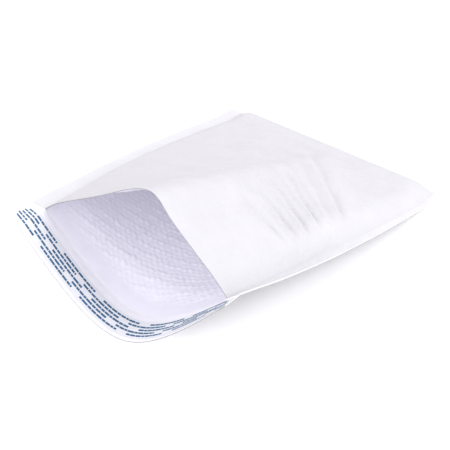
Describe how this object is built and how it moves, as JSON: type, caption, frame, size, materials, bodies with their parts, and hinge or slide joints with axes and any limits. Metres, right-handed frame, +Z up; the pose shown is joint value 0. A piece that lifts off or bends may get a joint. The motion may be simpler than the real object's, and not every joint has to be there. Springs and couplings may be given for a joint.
{
  "type": "padded envelope",
  "caption": "White padded mailing envelope lying open: a folded paper shell with a bubble film lining, sealed sides and a self-seal flap with its printed release liner still on.",
  "frame": {"origin": "middle of the bounding box at the table, z = 0", "axes": "+X across the envelope, +Y from the open mouth to the folded end, +Z up from the table"},
  "size_m": [0.216, 0.322, 0.1038],
  "materials": {
    "white_paper": "matt white kraft paper",
    "bubble_film": "soft polyethylene bubble film",
    "adhesive": "clear tacky adhesive band",
    "liner": "smooth release paper with blue dashes"
  },
  "bodies": {
    "root": {"paper_shell": "white_paper", "bubble_lining": "bubble_film", "adhesive_strip": "adhesive", "release_liner": "liner"}
  },
  "joints": []
}
